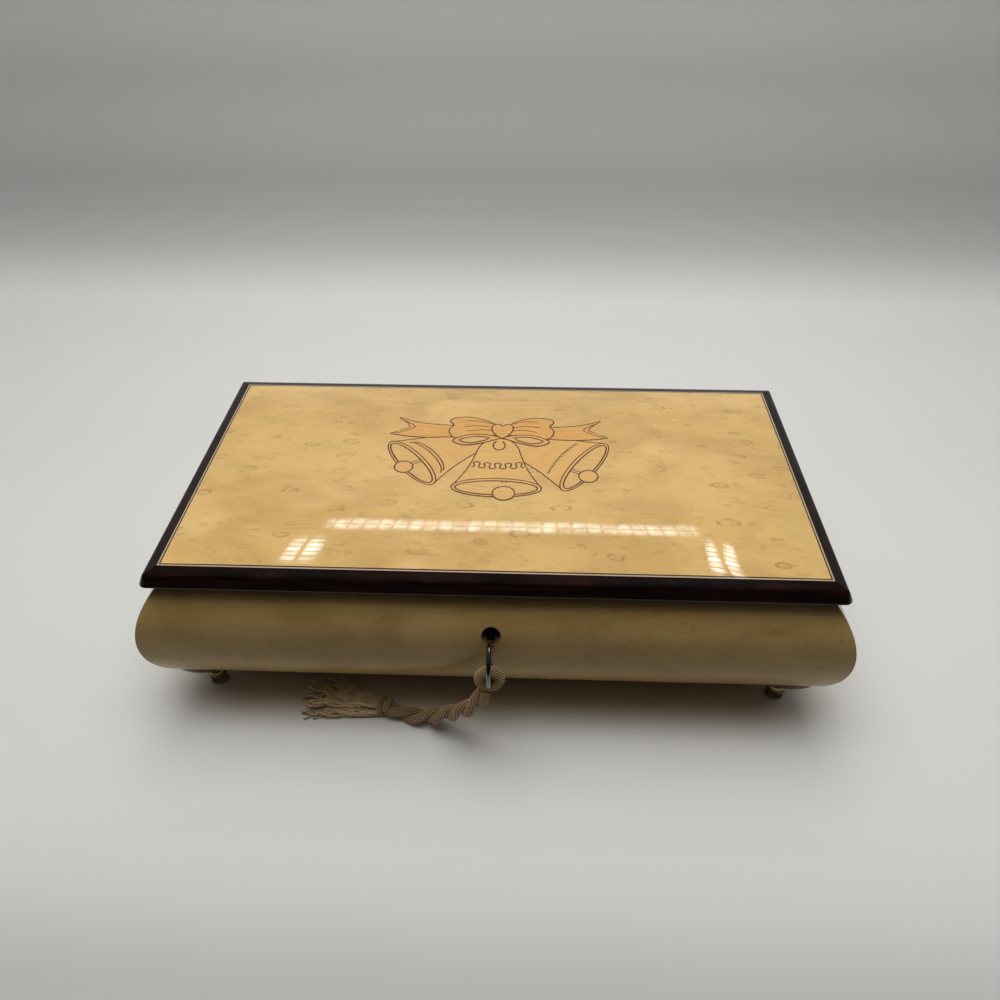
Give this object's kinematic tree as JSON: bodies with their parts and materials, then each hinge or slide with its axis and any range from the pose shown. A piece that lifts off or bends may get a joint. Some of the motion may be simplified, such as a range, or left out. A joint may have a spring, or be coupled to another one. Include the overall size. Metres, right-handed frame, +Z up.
{
  "type": "musical jewelry box",
  "caption": "Shallow bombe jewelry box with a crowned hinged lid, lock and tasselled key, velvet compartments and a comb musical movement under a clear cover.",
  "frame": {"origin": "centre of the bounding box on the table plane, measured without the tassel; the key's bow reaches forward, so the case's own centre lies 11.94 mm behind the origin", "axes": "+X along the case to the viewer's right, +Y to the back where the hinges are, +Z up"},
  "size_m": [0.3176, 0.2004, 0.0897],
  "materials": {
    "top_veneer": "clear gloss lacquer over pale bird's eye veneer",
    "side_veneer": "clear gloss lacquer over pale bird's eye veneer",
    "moulding": "dark stained and lacquered",
    "plywood": "bare",
    "velvet": "short pile velvet",
    "brass": "cast and tumbled",
    "steel": "polished",
    "key_metal": "dark nickel plate",
    "zinc": "die cast and plated",
    "clear": "clear moulded sheet",
    "cotton": "twisted cotton cord"
  },
  "bodies": {
    "case": {"barrel_bridge": "brass", "base_board": "plywood", "carcass_back": "side_veneer", "carcass_front": "side_veneer", "carcass_left": "side_veneer", "carcass_right": "side_veneer", "comb": "steel", "divider_bay": "velvet", "divider_cross": "velvet", "divider_ring": "velvet", "floor_lining": "velvet", "foot_back_left": "brass", "foot_back_right": "brass", "foot_front_left": "brass", "foot_front_right": "brass", "governor_frame": "brass", "hinge_leaf_case_left": "brass", "hinge_leaf_case_right": "brass", "hinge_pin_left": "brass", "hinge_pin_right": "brass", "lock_case": "brass", "movement_bed": "zinc", "movement_cover": "clear", "ring_plinth": "velvet", "ring_roll_1": "velvet", "ring_roll_2": "velvet", "ring_roll_3": "velvet", "ring_roll_4": "velvet", "ring_roll_5": "velvet", "tray_lining": "velvet", "wall_lining": "velvet"},
    "lid": {"lid_panel": "top_veneer", "lid_lining": "velvet", "link_plate": "brass", "hinge_leaf_lid_left": "brass", "hinge_leaf_lid_right": "brass", "lid_moulding_front": "moulding", "lid_moulding_back": "moulding", "lid_moulding_left": "moulding", "lid_moulding_right": "moulding"},
    "key_slider": {"tassel_rope": "cotton", "tassel_fringe": "cotton"},
    "key": {"key": "key_metal", "tassel_loop": "cotton"},
    "lock_bolt": {"lock_bolt": "steel"},
    "spring_barrel": {"spring_barrel": "brass"},
    "cylinder": {"cylinder": "brass", "cylinder_arbor": "steel", "cylinder_gear": "brass"},
    "governor": {"governor_arbor": "steel", "governor_wheel": "brass"},
    "fan": {"governor_worm": "steel", "governor_fan": "brass"},
    "winding_key": {"winding_shaft": "steel", "winding_key": "brass"},
    "stop_plunger": {"stop_plunger": "steel"}
  },
  "joints": [
    {"name": "lid_hinge", "type": "hinge", "parent": "case", "child": "lid", "pos_m": [0, 0.0908, 0.0754], "axis": [-1, 0, 0], "range_deg": [0, 95]},
    {"name": "key_pull", "type": "slide", "parent": "case", "child": "key_slider", "axis": [0, -1, 0], "range_m": [0, 0.03]},
    {"name": "key_turn", "type": "hinge", "parent": "key_slider", "child": "key", "pos_m": [0, -0.09024, 0.0585], "axis": [0, 1, 0], "range_deg": [0, 90], "deforming": ["tassel_rope"]},
    {"name": "bolt_slide", "type": "slide", "parent": "case", "child": "lock_bolt", "axis": [1, 0, 0], "range_m": [0, 0.004]},
    {"name": "cylinder_spin", "type": "hinge", "parent": "case", "child": "cylinder", "pos_m": [0.0938, 0.04389, 0.03927], "axis": [1, 0, 0], "continuous": true},
    {"name": "barrel_spin", "type": "hinge", "parent": "case", "child": "spring_barrel", "pos_m": [0.0804, 0.04389, 0.0358], "axis": [0, 0, 1], "continuous": true},
    {"name": "governor_spin", "type": "hinge", "parent": "case", "child": "governor", "pos_m": [0.1214, 0.05108, 0.03577], "axis": [1, 0, 0], "continuous": true},
    {"name": "fan_spin", "type": "hinge", "parent": "case", "child": "fan", "pos_m": [0.12195, 0.05648, 0.03577], "axis": [0, 0, 1], "continuous": true},
    {"name": "winding_turn", "type": "hinge", "parent": "case", "child": "winding_key", "pos_m": [0.0804, 0.04389, 0.01], "axis": [0, 0, 1], "continuous": true},
    {"name": "plunger_slide", "type": "slide", "parent": "case", "child": "stop_plunger", "axis": [0, 0, 1], "range_m": [0, 0.003]}
  ],
  "couplings": [
    {"joint": "bolt_slide", "follows": "key_turn", "m_per_rad": 0.002546},
    {"joint": "barrel_spin", "follows": "cylinder_spin", "ratio": 0.33333},
    {"joint": "governor_spin", "follows": "cylinder_spin", "ratio": -4},
    {"joint": "fan_spin", "follows": "cylinder_spin", "ratio": 40},
    {"joint": "plunger_slide", "follows": "lid_hinge", "m_per_rad": 0.001809}
  ]
}
